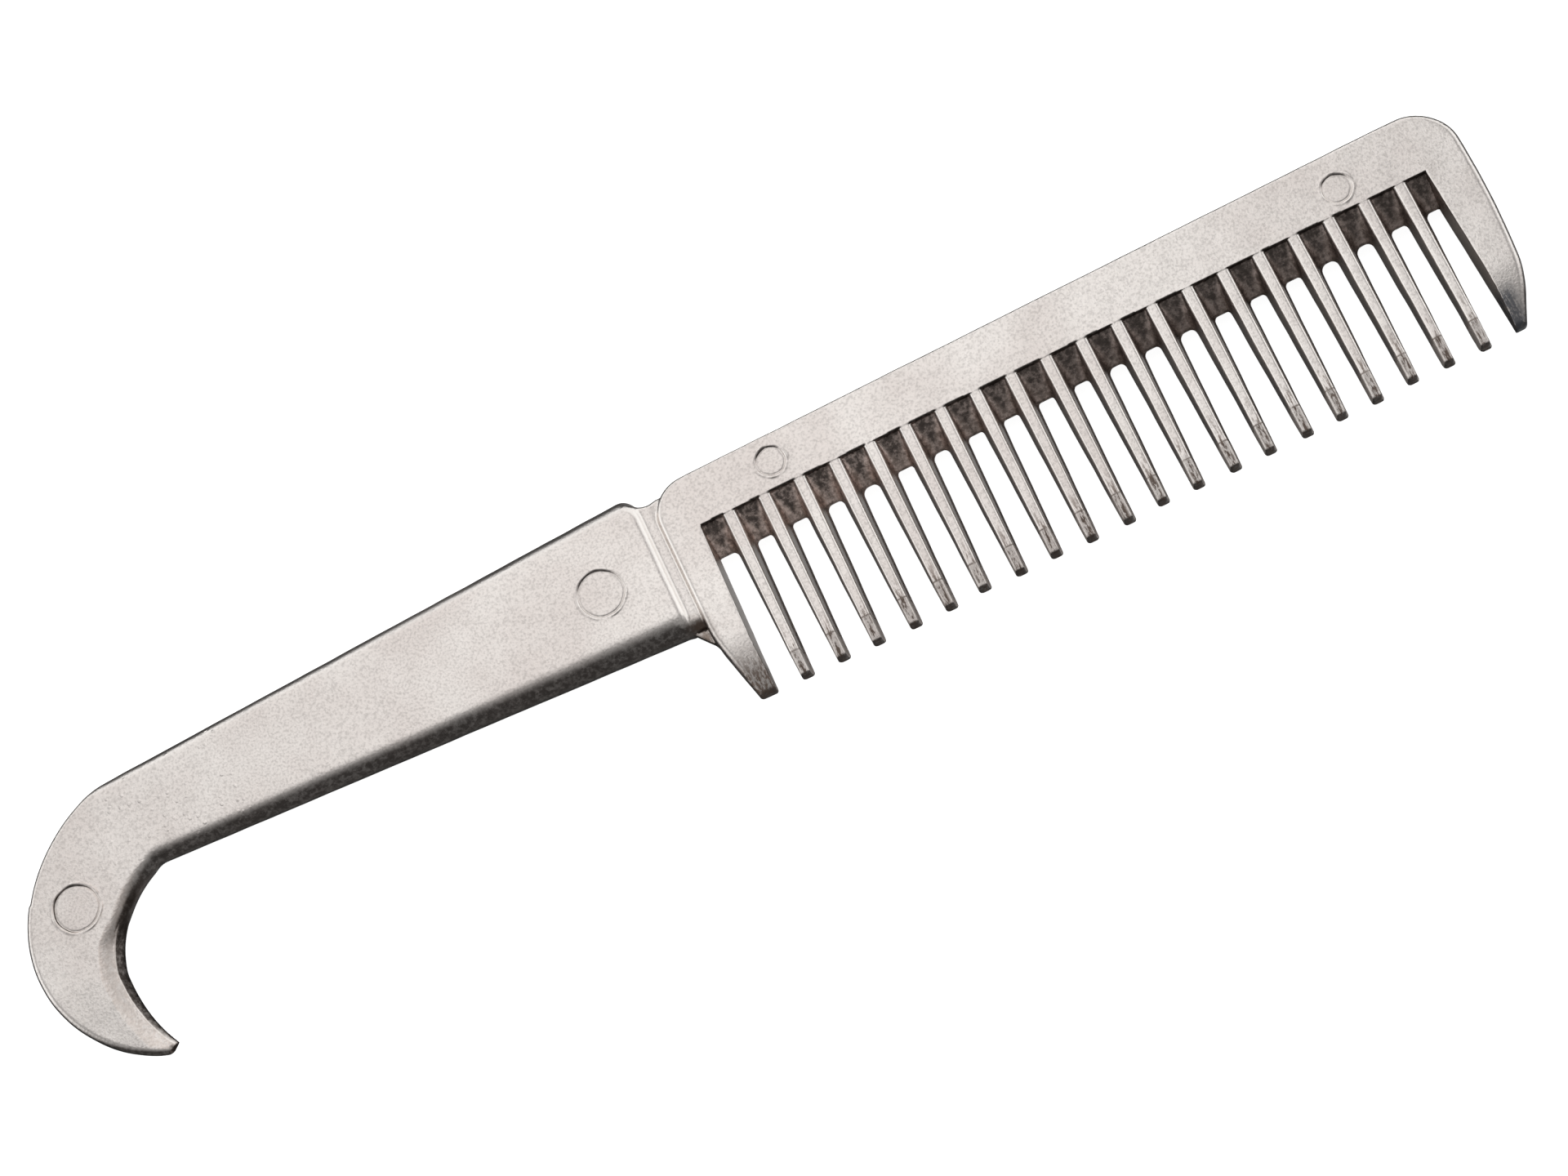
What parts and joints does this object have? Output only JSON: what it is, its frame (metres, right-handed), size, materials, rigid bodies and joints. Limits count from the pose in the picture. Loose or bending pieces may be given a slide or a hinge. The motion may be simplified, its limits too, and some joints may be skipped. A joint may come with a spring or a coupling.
{
  "type": "mane comb",
  "caption": "One-piece cast metal mane and pulling comb with long tapered teeth, a flat tapered handle and a curved hoof-pick hook at the handle's end.",
  "frame": {"origin": "middle of the overall outline, on the plane of the back face that the comb rests on, to within half a millimetre", "axes": "+X from the hoof hook to the comb's free end, +Y from the tooth tips to the spine, +Z out of the front face"},
  "size_m": [0.2208, 0.0419, 0.0066],
  "materials": {
    "cast_aluminium": "as-cast satin with a fine grain"
  },
  "bodies": {
    "root": {"comb_spine": "cast_aluminium", "inner_guard": "cast_aluminium", "outer_guard": "cast_aluminium", "tooth_01": "cast_aluminium", "tooth_02": "cast_aluminium", "tooth_03": "cast_aluminium", "tooth_04": "cast_aluminium", "tooth_05": "cast_aluminium", "tooth_06": "cast_aluminium", "tooth_07": "cast_aluminium", "tooth_08": "cast_aluminium", "tooth_09": "cast_aluminium", "tooth_10": "cast_aluminium", "tooth_11": "cast_aluminium", "tooth_12": "cast_aluminium", "tooth_13": "cast_aluminium", "tooth_14": "cast_aluminium", "tooth_15": "cast_aluminium", "tooth_16": "cast_aluminium", "tooth_17": "cast_aluminium", "tooth_18": "cast_aluminium", "tooth_19": "cast_aluminium", "tooth_20": "cast_aluminium", "neck": "cast_aluminium", "handle": "cast_aluminium", "hoof_hook": "cast_aluminium"}
  },
  "joints": []
}
